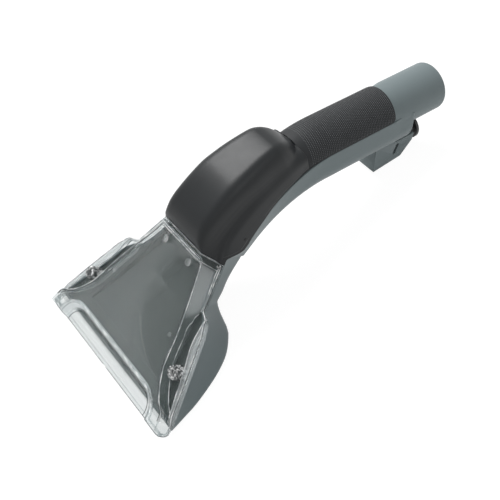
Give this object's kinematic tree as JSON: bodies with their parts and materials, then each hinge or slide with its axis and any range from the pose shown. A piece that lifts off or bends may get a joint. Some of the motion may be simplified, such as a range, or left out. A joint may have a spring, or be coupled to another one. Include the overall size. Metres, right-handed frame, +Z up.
{
  "type": "extraction cleaner hand tool",
  "caption": "Hand tool of a carpet cleaner: wide clear suction nozzle with spray tip on a hollow bent handle with grip, hose tube and solution inlet.",
  "frame": {"origin": "middle of the box's bottom face: on the surface the tool lies on, midway along its length", "axes": "+Z up when the tool lies on its lip's edge and on the inlet block, +X from the nozzle's lip to the hose tube's end, +Y across the tool"},
  "size_m": [0.2805, 0.1332, 0.0905],
  "materials": {
    "grey_plastic": "satin moulded",
    "dark_plastic": "satin moulded",
    "black_plastic": "satin gloss",
    "grip_rubber": "fine raised dashes",
    "clear_plastic": "clear polished",
    "natural_plastic": "plain",
    "tube_plastic": "translucent",
    "seal_rubber": "smooth",
    "steel": "bright",
    "brass": "turned"
  },
  "bodies": {
    "tool": {"handle_tube": "grey_plastic", "neck_shell": "grey_plastic", "head_base": "grey_plastic", "inlet_block": "grey_plastic", "channel_floor": "grey_plastic", "upper_shell": "dark_plastic", "grip_sleeve": "grip_rubber", "hood": "black_plastic", "air_duct": "dark_plastic", "duct_seal": "seal_rubber", "clear_cover": "clear_plastic", "cover_screws": "steel", "block_screws": "steel", "inlet_fitting": "dark_plastic", "socket_seal": "seal_rubber", "valve_seat": "steel", "poppet_spring": "steel", "solution_tube": "tube_plastic", "tube_clips": "natural_plastic", "tip_holder": "dark_plastic", "spray_tip": "brass", "tip_seal": "seal_rubber", "tip_screws": "steel"},
    "check_valve": {"check_poppet": "natural_plastic", "poppet_seal": "seal_rubber"}
  },
  "joints": [
    {"name": "check_slide", "type": "slide", "parent": "tool", "child": "check_valve", "axis": [-0.9703, 0, 0.2419], "range_m": [0, 0.0025], "stiffness_N_per_m": 200, "springref_m": -0.001, "deforming": ["poppet_spring"]}
  ]
}
